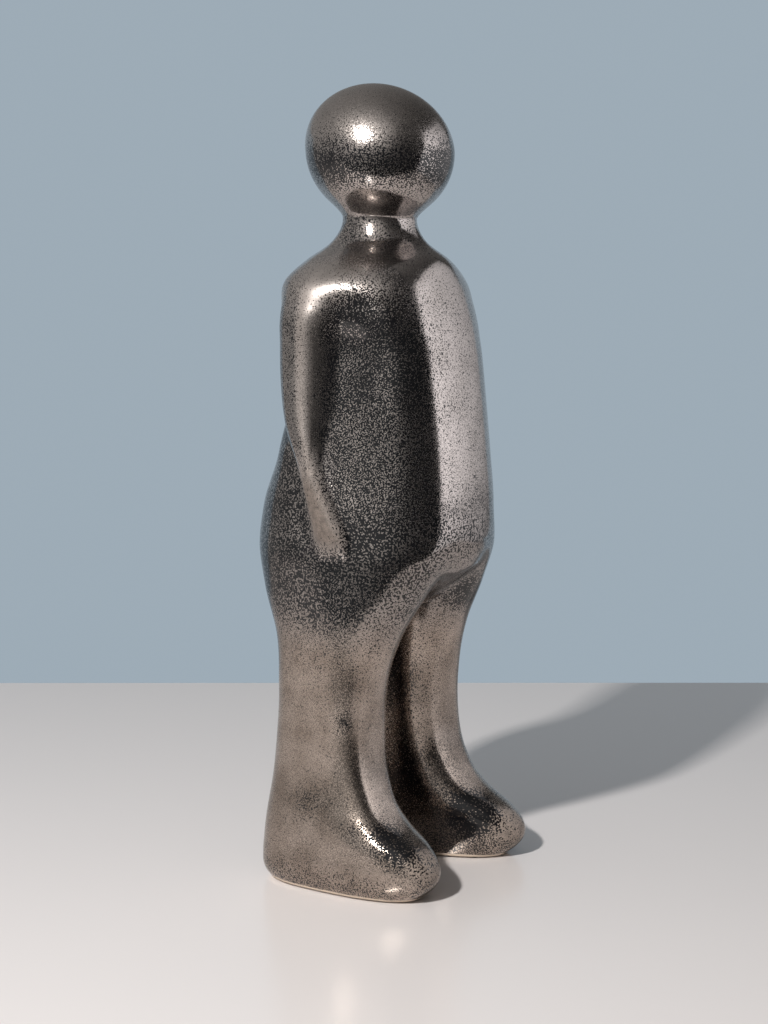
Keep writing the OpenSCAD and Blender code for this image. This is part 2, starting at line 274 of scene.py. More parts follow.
def angles(n, inner):
    """Angles of the points of half a section: few in the inner quarters, more in the outer ones."""
    return np.radians(np.concatenate([
        np.linspace(0, inner, n, endpoint=False),
        np.linspace(inner, 180 - inner, 4 * n, endpoint=False),
        np.linspace(180 - inner, 180, n + 1),
    ]))


def leg_section(r, z, n):
    """One leg, from its inner point round the front, the outside and the back."""
    turn = 2 * angles(n, leg_inner)
    c, s = np.cos(turn), np.sin(turn)
    shinny = ramp(z, *shin_foot) * ramp(z, *shin_top)
    front_square = np.where(c > 0, mix(*inner_square, shinny), mix(*outer_square, shinny))
    p = 2 / np.where(s < 0, calf_square, front_square)
    y = y_mid + np.where(s < 0, r[2] - y_mid, -r[1] - y_mid) * np.abs(s) ** p
    straight = straight_gap(z)
    mid = (r[0] + straight) / 2
    closed = straight * arch(z, np.abs(c) ** 3) * np.abs(c) ** 2
    inside = mid - (mid - straight) * np.abs(c) ** p - closed
    outside = mid + (r[0] - mid) * np.abs(c) ** p
    slant = toe_out * ramp(z, z_spring, z_sole)
    x = np.where(c > 0, inside, outside) + slant * (y_mid - y)
    return np.stack([x, y], 1)


def body_section(r, z, n):
    """Half the body, from the front middle round the side to the back middle."""
    bodily = np.clip((z_round - z) / round_over, 0, 1)
    p = 2 / mix(oval, trunk_square, bodily)
    mid = mix((r[2] - r[1]) / 2, y_mid, bodily)
    turn = angles(n, trunk_inner)
    c, s = np.cos(turn), np.abs(np.sin(turn))
    y = mid + np.where(c > 0, -r[1] - mid, r[2] - mid) * np.abs(c) ** p
    return np.stack([r[0] * s ** p, y], 1)


def up_arm(z):
    """Share of the way up an arm, from the fingertips to the top of the shoulder."""
    return (z - z_hand) / (z_arm_top - z_hand)


def arm_ridge(y, z):
    """How far points lie behind an arm's middle line, and the arm's own half width there."""
    up = up_arm(z)
    middle = mix(-hand_front, elbow_back, curve(arm_line, up, way_back))
    return y - middle, arm_w * curve(arm_line, up, width_share)


def relief(p, z, half_width):
    """How far the arm, its hollow and its groove move the skin outwards."""
    up = up_arm(z)
    if not 0 < up < 1:
        return np.zeros(len(p))
    d, width = arm_ridge(p[:, 1], z)
    e = (d + hollow_offset) / (1 - hollow_taper * ramp(up, *hollow_closes))
    front_edge = mix(hand_edge, upper_edge, ramp(up, *elbow))
    ridge = np.where(d > 0, bell(d, width, back_edge), bell(d, width, front_edge))
    arm = arm_relief * max(curve(arm_line, up, rise_share), 0) * ridge
    dip = np.where(e > 0, bell(e, hollow_near), bell(e, hollow_far, hollow_far_edge))
    hollow = hollow_depth * max(curve(arm_line, up, hollow_share), 0) * dip
    trough = bell(d - groove_offset * width, groove_width)
    groove = groove_depth * max(curve(arm_line, up, groove_share), 0) * trough
    return ease(p[:, 0] / (arm_flank * half_width)) * (arm - hollow - groove)


def half_section(z, cleft, n):
    """Half the figure at one level. The cleft is 0 where the legs are apart and 1 where they are one."""
    r = reach(z)
    leg = leg_section(r, z, n)
    body = body_section(r, z, n)
    j = np.arange(len(leg))
    inner = ease(1 - np.minimum(j, len(leg) - 1 - j) / n)
    closed = cleft ** (1 / mix(1, crease, inner ** crease_edge))
    p = mix(leg, body, mix(ramp(z, *trunk_side), closed, inner)[:, None])
    out = p - [0, y_mid]
    out = out / np.maximum(np.linalg.norm(out, axis=1), 1)[:, None]
    p = p + out * relief(p, z, r[0])[:, None]
    p[np.abs(p[:, 0]) < 1e-9, 0] = 0
    return np.column_stack([p, np.full(len(p), z)])


def sole_rows(outline, n):
    """The underside of one foot, from inside its pouring hole out to the outline of the sole."""
    turn = 2 * angles(n, leg_inner)
    ring = np.column_stack([-np.cos(turn), -np.sin(turn), np.zeros(len(turn))])
    middle = np.array([gate_x, gate_y, z_sole])
    rows = [middle + ring * radius + [0, 0, height] for radius, height in gate_profile]
    return rows + [mix(rows[-1], outline, share) for share in sole_shares]


def parts(count):
    """Shares from 0 to 1 in equal steps."""
    return np.arange(count + 1) / count


def skin_rows(n, leg_rows, arch_rows, merge_rows, trunk_rows, head_rows):
    """Rows of half sections from the pouring hole to the crown, closer at the soles, fork and crown."""
    quarter = math.pi / 2
    legs = mix(z_sole, z_spring, parts(leg_rows)[:-1] ** sole_crowding)
    arched = mix(z_spring, z_fork, np.sin(quarter * parts(arch_rows)))
    merged = parts(merge_rows)[1:] ** fork_crowding
    trunk = mix(z_merge, z_chin, parts(trunk_rows)[1:])
    head = mix(z_chin, z_crown, np.sin(quarter * parts(head_rows)[1:-1]))
    rows = [half_section(z, 0, n) for z in [*legs, *arched]]
    rows += [half_section(mix(z_fork, z_merge, u), u, n) for u in merged]
    rows += [half_section(z, 1, n) for z in [*trunk, *head]]
    crown = np.tile([0, head_lean, z_crown], (len(rows[0]), 1))
    return np.array([*sole_rows(rows[0], n), *rows, crown])


def skinned(name, half):
    """A closed mesh over rows of half sections and their mirror image."""
    count, wide = half.shape[:2]
    side = half.reshape(-1, 3)
    points = np.concatenate([side, side * [-1, 1, 1]]) + [0, y_step, 0]
    i, j = np.meshgrid(np.arange(count - 1), np.arange(wide - 1), indexing="ij")
    a = (i * wide + j).ravel()
    quads = np.stack([a, a + 1, a + wide + 1, a + wide], 1)
    mesh = bpy.data.meshes.new(name)
    mesh.from_pydata(points * mm, [], np.concatenate([quads, quads[:, ::-1] + count * wide]))
    work = bmesh.new()
    work.from_mesh(mesh)
    bmesh.ops.remove_doubles(work, verts=work.verts, dist=weld)
    bmesh.ops.dissolve_degenerate(work, edges=work.edges, dist=weld / 10)
    work.to_mesh(mesh)
    work.free()
    mesh.polygons.foreach_set("use_smooth", np.ones(len(mesh.polygons), bool))
    return mesh


def piece(name, mesh, material, slot, *nodes):
    """A finished piece that stands for CAD nodes of the figure."""
    made = bpy.data.objects.new(name, mesh)
    bpy.context.scene.collection.objects.link(made)
    mesh.materials.clear()
    mesh.materials.append(material)
    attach(made, "root")
    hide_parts(*nodes)


def new_material(name):
    """An empty node material and its Principled shader."""
    made = bpy.data.materials.new(name)
    made.use_nodes = True
    return made, made.node_tree.nodes["Principled BSDF"]


def node(owner, kind, values=None, output=0, **settings):
    """Adds a node to a material or a tree, sets or links its inputs, and returns one of its outputs."""
    tree = getattr(owner, "node_tree", owner)
    made = tree.nodes.new(kind)
    for name, value in settings.items():
        setattr(made, name, value)
    for key, value in (values or {}).items():
        if isinstance(value, bpy.types.NodeSocket):
            tree.links.new(value, made.inputs[key])
        else:
            made.inputs[key].default_value = value
    return made.outputs[output]


def object_place(material):
    return node(material, "ShaderNodeTexCoord", output="Object")


def attribute(material, name):
    return node(material, "ShaderNodeAttribute", output="Fac", attribute_name=name)


def noise(material, place, scale, detail, roughness=0.5):
    values = {"Vector": place, "Scale": scale, "Detail": detail, "Roughness": roughness}
    return node(material, "ShaderNodeTexNoise", values, "Fac")


def ranged(material, value, low, high, to_low=0.0, to_high=1.0, smooth=False):
    """A value carried from one range to another, either of which may be a socket."""
    values = {"Value": value, "From Min": low, "From Max": high, "To Min": to_low, "To Max": to_high}
    kind = "SMOOTHSTEP" if smooth else "LINEAR"
    return node(material, "ShaderNodeMapRange", values, interpolation_type=kind)


def swing(material, value, amount):
    """A noise as a swing of some amount to both sides of 0."""
    return ranged(material, value, 0.3, 0.7, -amount, amount)


def by_height(material, height, value, *steps, smooth=False):
    """A value at the table, and its way to other values, each between two heights in millimetres."""
    for low, high, after in steps:
        value = ranged(material, height, low * mm, high * mm, value, after, smooth)
    return value


def combine(material, a, b, operation="ADD"):
    return node(material, "ShaderNodeMath", {0: a, 1: b}, operation=operation)


def mixed_value(material, share, a, b):
    return node(material, "ShaderNodeMix", {0: share, 2: a, 3: b}, data_type="FLOAT")


def mixed(material, share, a, b, blend_type="MIX"):
    """Two colours mixed."""
    values = {0: share, 6: a, 7: b}
    return node(material, "ShaderNodeMix", values, 2, data_type="RGBA", blend_type=blend_type)


def scaled(material, colour, value):
    return mixed(material, 1.0, colour, value, "MULTIPLY")


def connect(owner, shader, **sockets):
    """Links values to a shader's inputs, named with underscores for spaces."""
    for name, value in sockets.items():
        owner.node_tree.links.new(value, shader.inputs[name.replace("_", " ")])


# Share of black in the glaze by height: it pooled on the trunk and low on the head, and ran thin elsewhere.
# About the height of the hollows under the shoulders it is set higher still, as painted shade
black_levels = np.array([
    [0, 0.14],
    [106, 0.13],
    [124, 0.24],
    [137, 0.54],
    [152, 0.67],
    [200, 0.62],
    # From here to 282 mm it is raised as painted shade about the hollows under the shoulders
    [235, 0.70],
    [255, 0.77],
    [282, 0.70],
    [298, 0.44],
    [312, 0.36],
    [326, 0.36],
    [334, 0.24],
    [346, 0.30],
    [352, 0.55],
    [362, 0.58],
    [372, 0.26],
    [384, 0.08],
    [400, 0.05],
])
least_black = 0.03
most_black = 0.86
# Middle, radius and amount of the places where more black pooled, or less, and of places where more black is
# painted shade
black_pools_and_shade = [
    ((-52, -38, 31), 12, 0.58),
    ((-58, -24, 33), 8, 0.30),
    ((-59, 6, 45), 11, 0.26),
    ((-54, -13, 87), 4.5, 0.60),
    ((-54, -45, 27), 8, 0.50),
    ((-50, -58, 17), 12, 0.10),
    ((37, -58, 17), 12, 0.10),
    ((26, -39, 24), 12, 0.80),
    ((31, -43, 28), 9, 0.60),
    # More black at the fronts of the hips and the tops of the thighs: painted shade
    ((-34, -43, 155), 15, 0.22),
    ((-40, -33, 138), 15, 0.22),
    ((19, -37, 146), 13, 0.42),
    ((33, -38, 141), 14, 0.42),
    # More black in the tops of the hollows under the shoulders: painted shade
    ((-49, -17, 289), 10, 0.40),
    ((49, -17, 289), 10, 0.40),
    # More black on the inner sides of the legs: painted shade between them
    ((16, -4, 40), 25, 0.55),
    ((-16, -4, 40), 25, 0.55),
    ((13, 12, 92), 24, 0.55),
    ((-13, 12, 92), 24, 0.55),
    ((8, -38, 364), 20, 0.30),
    ((-36, 8, 362), 14, 0.20),
    ((-19, 6, 329), 10, 0.30),
    ((-46, 2, 304), 16, -0.34),
]
# Down the front of the trunk the black is thinner: its half width, distance in front, foot and top
front_thinning = 0.66
thin_side = (31, 23)
thin_front = (15, 25)
thin_foot = (165, 210)
thin_top = (325, 305)
# Towards the front of the hips the lower edge of the black lies higher
belly_rise = 36.0
belly_front = (8, 50)
belly_top = (235, 185)
# The arms are nearly free of black, but for the backs of the upper arms, and there is some along the soles
arm_thinning = 0.95
behind_share = 0.36
edge_share = 0.26
edge_top = (19, 4)
# Outline of an arm in the glaze, as shares of the relief's half width, and how sharp its front edge is:
# behind, in front of the forearm, and in front of the upper arm where it lacks black and where it is dry
glaze_behind = 1.15
glaze_forearm = (1.06, 6)
glaze_thin = (1.02, 6)
glaze_dry = (0.5, 3)
glaze_elbow = (0.25, 0.45)
glaze_rise = 1.6
arm_side = (0, 45)
# The back of an upper arm: how far behind its middle line, and how high
behind_from = (-5, 0)
behind_foot = (200, 225)
# How dry the upper arms are, and the middle and radius of the pale matt ends of the toes, which are painted
# light
upper_dryness = 0.8
upper_foot = (200, 250)
tip_painted_light = 0.75
tip_edge = 4
painted_lit_tips = [((-50, -58, 17), 10), ((37, -58, 17), 11)]
# Roughness of the metal by height, most of it polished, and how much rougher the caps of the shoulders are
satin_levels = np.array([
    [0, 0.17],
    [120, 0.17],
    [150, 0.11],
    [270, 0.11],
    [300, 0.14],
    [345, 0.11],
    [362, 0.12],
    [376, 0.23],
    [400, 0.24],
])
cap_satin = 0.28
z_cap = 301.0
cap_h = 16
cap_side = (26, 44)
# The large specks: on the hips up to one height in front and another behind, and on top of the toes
coarse_foot = (125, 145)
coarse_front = 198
coarse_back = 240
coarse_fade = 25
coarse_turn = (0, 20)
toes_foot = (8, 20)
toes_top = (45, 30)
toes_front = (24, 36)


def on_arm(x, y, z, upper_front, upper_sharp):
    """How far points of the skin belong to an arm, and to the back of an upper arm."""
    d, width = arm_ridge(y, z)
    up = up_arm(z)
    upper = ramp(up, *glaze_elbow)
    fore_front, fore_sharp = glaze_forearm
    front = bell(d, mix(fore_front, upper_front, upper) * width, mix(fore_sharp, upper_sharp, upper))
    across = np.where(d > 0, bell(d, glaze_behind * width, back_edge), front)
    raised = np.clip(glaze_rise * curve(arm_line, up, rise_share), 0, 1)
    arm = across * raised * ramp(np.abs(x), *arm_side)
    return arm, arm * ramp(d, *behind_from) * ramp(z, *behind_foot)


def apart(x, y, z, middle):
    """Squared distance of points from one place."""
    return (x - middle[0]) ** 2 + (y - middle[1]) ** 2 + (z - middle[2]) ** 2


def black_share(x, y, z):
    """Share of black at points of the skin."""
    arm, behind = on_arm(x, y, z, *glaze_thin)
    front = ramp(np.abs(x), *thin_side) * ramp(-y, *thin_front) * ramp(z, *thin_foot) * ramp(z, *thin_top)
    fall = belly_rise * ramp(-y, *belly_front) * ramp(z, *belly_top)
    share = curve(black_levels, z - fall, 1) * (1 - arm_thinning * arm) * (1 - front_thinning * front)
    share += behind_share * behind + edge_share * ramp(z, *edge_top)
    for middle, far, amount in black_pools_and_shade:
        share += amount * np.exp(-apart(x, y, z, middle) / far ** 2)
    return np.clip(share, least_black, most_black)


def dry_and_lit_share(x, y, z):
    """How far the glaze is dry and matt, on the hands and forearms and less on the upper arms, and the pale
    matt toe ends that are painted light.
    """
    arm, behind = on_arm(x, y, z, *glaze_dry)
    share = (arm - behind) * mix(1.0, upper_dryness, ramp(z, *upper_foot))
    # The pale matt ends of the toes are painted light
    for middle, far in painted_lit_tips:
        share += tip_painted_light * bell(np.sqrt(apart(x, y, z, middle)), far, tip_edge)
    return share


def satin_share(x, y, z):
    """Roughness of the metal at points of the skin."""
    return curve(satin_levels, z, 1) + cap_satin * bell(z - z_cap, cap_h) * ramp(np.abs(x), *cap_side)


def coarse_share(x, y, z):
    """How far the specks are large ones: on the seat and the hips, and on the toes."""
    top = mix(coarse_front, coarse_back, ramp(y, *coarse_turn))
    hips = ramp(z, *coarse_foot) * ramp(z, top, top - coarse_fade)
    toes = ramp(z, *toes_top) * ramp(z, *toes_foot) * ramp(-y, *toes_front)
    return hips + toes


# Colours of the glaze: pairs for its metal above and on the legs, for its matt places and for the bare clay
pewter = ((0.48, 0.435, 0.41, 1), (0.41, 0.37, 0.345, 1))
bronze = ((0.45, 0.38, 0.33, 1), (0.30, 0.245, 0.205, 1))
matt_beige = ((0.13, 0.106, 0.091, 1), (0.20, 0.162, 0.138, 1))
bare_clay = ((0.50, 0.40, 0.31, 1), (0.66, 0.56, 0.46, 1))
glossy_black = (0.005, 0.005, 0.006, 1)
# Scales of its noises, from drifts across the whole body to the grain of the metal
drift_scale = 16
cloud_scale = 60
mottle_scale = 350
large_speck_scale = 1120
speck_scale = 1500
grain_scale = 1700
speck_detail = 0.6
# How far clouds and drifts change the share of black, the range that stands for none to all of it, and the
# softness of a speck's edge in it
cloud_swing = 0.08
drift_swing = 0.06
speck_range = (0.29, 0.71)
speck_edge = 0.015
# Ranges of a noise and of what it changes: patches of the metal, its shade and its roughness by the grain,
# and the grain and the mottles of the dry places
patch_range = (0.35, 0.75)
grain_shade = (0.34, 0.66, -0.42, 0.24)
grain_satin = (0.42, 0.62, -0.06, 0.10)
dry_grain = (0.35, 0.65)
dry_mottle = (0.35, 0.65, 0.78, 1.22)
# Steps by height: from the legs' metal to the trunk's, painted shade on the hips, the depth of the grain,
# painted shade on the crown, the matt colour of toes, forearms and upper arms, paler on the toes as painted
# light and darker up the arms as painted shade, and the edge of the glaze over the bare rim
legs_end = (115, 150, 1.0)
# Painted shade on the metal about the hips
dull_hips = [(120, 140, 0.72), (160, 180, 1.0)]
grain_depth = [(120, 170, 0.7), (260, 300, 0.35)]
# Painted shade on the metal of the crown
crown_painted_shade = (372, 390, 0.74)
# The toes' matt colour paler as painted light, and darker up the arms as painted shade
toe_painted_light = 1.5
arm_painted_shade = [(30, 50, 0.85), (200, 250, 0.48)]
glaze_edge = (2.1, 2.5, 1.0)
glaze_wave = 0.3
# Roughness of the black, of the dry places and of the clay, and how metallic a dry place stays
black_gloss = 0.07
dry_roughness = 0.7
clay_roughness = 0.6
dry_metal = 0.05
# Strength and depth of the fine relief of its specks and grain
bump_strength = 0.06
bump_depth = 0.3


def crystal_share(made, place, cloud, fleck):
    """1 on the metal crystals and 0 on the black glaze between them, by the skin's share of black."""
    drift = noise(made, place, drift_scale, 2)
    wander = combine(made, swing(made, cloud, cloud_swing), swing(made, drift, drift_swing))
    level = combine(made, attribute(made, "black_share"), wander)
    edge = ranged(made, level, 0, 1, *speck_range)
    low = combine(made, edge, speck_edge, "SUBTRACT")
    high = combine(made, edge, speck_edge)
    return ranged(made, fleck, low, high, smooth=True)


def crystal_colour(made, cloud, grain, height):
    """Brown metal on the legs and grey metal above, with a grain, darker on the hips and the crown as
    painted shade.
    """
    patch = ranged(made, cloud, *patch_range)
    above = by_height(made, height, 0.0, legs_end, smooth=True)
    tint = mixed(made, above, mixed(made, patch, *bronze), mixed(made, patch, *pewter))
    depth = by_height(made, height, 1.0, *grain_depth)
    dull = by_height(made, height, 1.0, *dull_hips)
    shade = combine(made, ranged(made, grain, *grain_shade), depth, "MULTIPLY")
    tint = scaled(made, tint, combine(made, shade, dull))
    return scaled(made, tint, by_height(made, height, 1.0, crown_painted_shade, smooth=True))


def dry_lit_and_shaded_colour(made, place, grain, height):
    """Matt beige with mottles, paler on the toes as painted light and darkest on the upper arms as painted
    shade.
    """
    matt = mixed(made, ranged(made, grain, *dry_grain), *matt_beige)
    matt = scaled(made, matt, by_height(made, height, toe_painted_light, *arm_painted_shade))
    mottle = noise(made, place, mottle_scale, 2)
    return scaled(made, matt, ranged(made, mottle, *dry_mottle))


def metallic_glaze():
    """Metal crystals in a glossy black glaze, matt and beige where it is dry, pale matt toe ends as painted
    light, darker in places as painted shade, and bare clay at the rim.
    """
    made, shader = new_material("metallic_glaze")
    place = object_place(made)
    height = node(made, "ShaderNodeSeparateXYZ", {0: place}, "Z")
    dry_and_lit = attribute(made, "dry_and_lit_share")
    cloud = noise(made, place, cloud_scale, 2)
    grain = noise(made, place, grain_scale, 2)
    specks = [noise(made, place, scale, speck_detail) for scale in (speck_scale, large_speck_scale)]
    fleck = mixed_value(made, attribute(made, "coarse_share"), *specks)
    metal = crystal_share(made, place, cloud, fleck)
    bright = crystal_colour(made, cloud, grain, height)
    matt = dry_lit_and_shaded_colour(made, place, grain, height)
    glaze = mixed(made, metal, glossy_black, mixed(made, dry_and_lit, bright, matt))
    satin = combine(made, attribute(made, "satin_share"), ranged(made, grain, *grain_satin))
    gloss = mixed_value(made, metal, black_gloss, mixed_value(made, dry_and_lit, satin, dry_roughness))
    clay = mixed(made, fleck, *bare_clay)
    wavy = combine(made, height, swing(made, cloud, glaze_wave * mm))
    glazed = by_height(made, wavy, 0.0, glaze_edge, smooth=True)
    shiny = combine(made, metal, glazed, "MULTIPLY")
    connect(
        made, shader,
        Base_Color=mixed(made, glazed, clay, glaze),
        Metallic=combine(made, shiny, ranged(made, dry_and_lit, 0, 1, 1, dry_metal), "MULTIPLY"),
        Roughness=mixed_value(made, glazed, clay_roughness, gloss),
        Normal=node(made, "ShaderNodeBump", {
            "Strength": bump_strength, "Distance": bump_depth * mm, "Height": combine(made, metal, grain)}),
    )
    return made


figure_rows = skin_rows(n=18, leg_rows=70, arch_rows=30, merge_rows=16, trunk_rows=110, head_rows=50)
figure_mesh = skinned("figure", figure_rows)
places = np.empty(3 * len(figure_mesh.vertices), np.float32)
figure_mesh.vertices.foreach_get("co", places)
across, along, high = (places.reshape(-1, 3) / mm - [0, y_step, 0]).T
for share_of in (black_share, dry_and_lit_share, satin_share, coarse_share):
    shares = figure_mesh.attributes.new(share_of.__name__, "FLOAT", "POINT")
    shares.data.foreach_set("value", share_of(across, along, high).astype(np.float32))
piece("figure", figure_mesh, metallic_glaze(), "metallic_glaze", "figure_casting")

# The stoppers
# Two soft moulded rubber plugs, one in each pouring hole. A thin flange stops in the seat in the sole,
# and a lip springs out over the inner edge of the hole.
stopper_nodes = ("right_pour_stopper", "left_pour_stopper")
stopper_steps = 72
sharp_edge = 40
# Radius and height over the table: the flange, the neck, the lip, and back down the hollow inside
stopper_profile = [
    (0, 1.45), (6.3, 1.45), (6.7, 1.2), (9.4, 1.2), (9.7, 1.32), (9.8, 1.6), (9.8, 2.3), (9.6, 2.58),
    (6.9, 2.58), (6.8, 2.8), (6.8, 7.2),
    (7.6, 7.75), (7.9, 8.1), (7.85, 8.5), (6.95, 10.5), (6.6, 10.8), (4.5, 10.8),
    (4.3, 10.6), (4.3, 3.0), (4.0, 2.6), (0, 2.6),
]
rubber_dark = (0.045, 0.045, 0.046, 1)
rubber_bloomed = (0.085, 0.084, 0.08, 1)


def new_tree(name, **sizes):
    """A Geometry Nodes tree with a geometry input, named inputs and a geometry output, and those inputs."""
    tree = bpy.data.node_groups.new(name, "GeometryNodeTree")
    tree.interface.new_socket("Geometry", in_out="INPUT", socket_type="NodeSocketGeometry")
    for label, kind in sizes.items():
        tree.interface.new_socket(label, in_out="INPUT", socket_type="NodeSocket" + kind)
    tree.interface.new_socket("Geometry", in_out="OUTPUT", socket_type="NodeSocketGeometry")
    return tree, tree.nodes.new("NodeGroupInput").outputs


def close_tree(tree, instances, material):
    """Ends a tree: the instances made real, with their material."""
    real = node(tree, "GeometryNodeRealizeInstances", {0: instances})
    coated = node(tree, "GeometryNodeSetMaterial", {"Geometry": real, "Material": material})
    tree.links.new(coated, tree.nodes.new("NodeGroupOutput").inputs[0])


def points_mesh(name, points):
    mesh = bpy.data.meshes.new(name)
    mesh.from_pydata(points, [], [])
    return mesh


def grown(tree, mesh, **sizes):
    """The plain mesh that a tree makes from a mesh of points, smooth but for its sharp edges."""
    host = bpy.data.objects.new(tree.name, mesh)
    bpy.context.scene.collection.objects.link(host)
    modifier = host.modifiers.new(tree.name, "NODES")
    modifier.node_group = tree
    for item in tree.interface.items_tree:
        if item.in_out == "INPUT" and item.name in sizes:
            modifier[item.identifier] = sizes[item.name]
    made = bpy.data.meshes.new_from_object(host.evaluated_get(bpy.context.evaluated_depsgraph_get()))
    host.modifiers.remove(modifier)
    bpy.data.objects.remove(host)
    made.name = tree.name
    made.polygons.foreach_set("use_smooth", np.ones(len(made.polygons), bool))
    made.set_sharp_from_angle(angle=math.radians(sharp_edge))
    return made


def middle_of(name):
    """The middle of a CAD node's box, on the ground."""
    low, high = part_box(name)
    return Vector(((low.x + high.x) / 2, (low.y + high.y) / 2, 0))


def stopper_tree():
    """A tree that turns a profile of points round Z and sets two such pieces apart."""
    tree, sizes = new_tree("stoppers", Steps="Int", Start="Vector", Apart="Vector", Finish="Material")
    count = node(tree, "GeometryNodeAttributeDomainSize", {0: sizes["Geometry"]}, "Point Count")
    rounds = combine(tree, sizes["Steps"], 1)
    grid = node(tree, "GeometryNodeMeshGrid", {"Vertices X": rounds, "Vertices Y": count})
    index = node(tree, "GeometryNodeInputIndex")
    step = node(tree, "FunctionNodeIntegerMath", {0: index, 1: count}, operation="DIVIDE")
    place = node(tree, "GeometryNodeSampleIndex", {
        "Geometry": sizes["Geometry"], "Value": node(tree, "GeometryNodeInputPosition"),
        "Index": node(tree, "FunctionNodeIntegerMath", {0: index, 1: count}, operation="MODULO"),
    }, data_type="FLOAT_VECTOR")
    turn = combine(tree, combine(tree, step, math.tau, "MULTIPLY"), sizes["Steps"], "DIVIDE")
    turned = node(tree, "ShaderNodeVectorRotate", {"Vector": place, "Angle": turn}, rotation_type="Z_AXIS")
    wall = node(tree, "GeometryNodeSetPosition", {"Geometry": grid, "Position": turned})
    closed = node(tree, "GeometryNodeMergeByDistance", {"Geometry": wall, "Distance": weld})
    pair = node(tree, "GeometryNodeMeshLine", {
        "Count": 2, "Start Location": sizes["Start"], "Offset": sizes["Apart"]})
    plugs = node(tree, "GeometryNodeInstanceOnPoints", {"Points": pair, "Instance": closed})
    close_tree(tree, plugs, sizes["Finish"])
    return tree


def stopper_rubber():
    """Dark rubber with a faint pale bloom and a fine moulded grain."""
    made, shader = new_material("stopper_rubber")
    place = object_place(made)
    grain = noise(made, place, 2200, 3)
    bloom = ranged(made, noise(made, place, 160, 3), 0.4, 0.7)
    connect(
        made, shader,
        Base_Color=mixed(made, bloom, rubber_dark, rubber_bloomed),
        Roughness=ranged(made, grain, 0.3, 0.7, 0.5, 0.7),
        Normal=node(made, "ShaderNodeBump", {"Strength": 0.2, "Distance": 0.1 * mm, "Height": grain}),
    )
    return made


rubber = stopper_rubber()
right_hole, left_hole = [middle_of(name) for name in stopper_nodes]
stopper_points = points_mesh("stopper_profile", [(r * mm, 0, z * mm) for r, z in stopper_profile])
stopper_mesh = grown(
    stopper_tree(), stopper_points,
    Steps=stopper_steps, Start=right_hole, Apart=left_hole - right_hole, Finish=rubber,
)
piece("stoppers", stopper_mesh, rubber, "stopper_rubber", *stopper_nodes)

# The pads
# Six discs of dense dark felt, punched from sheet and stuck under the heels and the balls of the feet.
# They keep the bare soles off the table by their own thickness.
pad_spots = ("heel", "inner_ball", "outer_ball")
pad_nodes = [f"{side}_{spot}_pad" for side in ("right", "left") for spot in pad_spots]
pad_fray = 0.15
pad_seed = 7.0
felt_dark = (0.07, 0.066, 0.062, 1)
felt_light = (0.14, 0.132, 0.125, 1)


def pad_tree():
    """A tree that sets a disc at each point and frays its edge."""
    tree, sizes = new_tree(
        "pads", Radius="Float", Height="Float", Fray="Float", Seed="Float", Finish="Material")
    disc = node(tree, "GeometryNodeMeshCylinder", {
        "Vertices": 64, "Side Segments": 3, "Fill Segments": 4,
        "Radius": sizes["Radius"], "Depth": sizes["Height"]})
    lifted = node(tree, "ShaderNodeCombineXYZ", {"Z": combine(tree, sizes["Height"], 0.5, "MULTIPLY")})
    raised = node(tree, "GeometryNodeTransform", {"Geometry": disc, "Translation": lifted})
    discs = node(tree, "GeometryNodeInstanceOnPoints", {"Points": sizes["Geometry"], "Instance": raised})
    real = node(tree, "GeometryNodeRealizeInstances", {0: discs})
    fibres = {"W": sizes["Seed"], "Scale": 1400, "Detail": 2}
    ragged = node(tree, "ShaderNodeTexNoise", fibres, "Color", noise_dimensions="4D")
    aside = node(tree, "ShaderNodeVectorMath", {0: ragged, 1: (0.5, 0.5, 0.5)}, operation="SUBTRACT")
    flat = node(tree, "ShaderNodeVectorMath", {0: aside, 1: (1, 1, 0)}, operation="MULTIPLY")
    moved = node(tree, "ShaderNodeVectorMath", {0: flat, "Scale": sizes["Fray"]}, operation="SCALE")
    frayed = node(tree, "GeometryNodeSetPosition", {"Geometry": real, "Offset": moved})
    close_tree(tree, frayed, sizes["Finish"])
    return tree


def pad_felt():
    """Dark pressed felt with paler fibres and a soft sheen."""
    made, shader = new_material("pad_felt")
    shader.inputs["Roughness"].default_value = 0.95
    shader.inputs["Sheen Weight"].default_value = 0.25
    fibre = noise(made, object_place(made), 1600, 4, 0.7)
    connect(
        made, shader,
        Base_Color=mixed(made, ranged(made, fibre, 0.35, 0.65), felt_dark, felt_light),
        Normal=node(made, "ShaderNodeBump", {"Strength": 0.5, "Distance": 0.2 * mm, "Height": fibre}),
    )
    return made


felt = pad_felt()
pad_low, pad_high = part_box(pad_nodes[0])
pad_mesh = grown(
    pad_tree(), points_mesh("pad_places", [middle_of(name) for name in pad_nodes]),
    Radius=(pad_high.x - pad_low.x) / 2, Height=pad_high.z - pad_low.z,
    Fray=pad_fray * mm, Seed=pad_seed, Finish=felt,
)
piece("pads", pad_mesh, felt, "pad_felt", *pad_nodes)

# The stage
# A plain pale table top that ends in front of the figure and behind it, and a plain wall further back.
# The camera stands off the figure's right front, a little above its chest.
facing = math.radians(58)
to_camera = Vector((-math.sin(facing), -math.cos(facing), 0))
to_right = Vector((math.cos(facing), -math.sin(facing), 0))
upwards = Vector((0, 0, 1))
axis = Vector((0, y_step * mm, 0))
# The stage's own sizes are in metres, from the figure's axis: towards the camera, to its right and up
table_front = 0.40
table_back = -0.433
table_side = 1.6
table_colour = (0.83, 0.795, 0.79, 1)
table_roughness = 0.22
wall_far = -1.5
wall_side = 2.2
wall_low = -1.2
wall_high = 0.8
wall_colour = (0.34, 0.41, 0.47, 1)


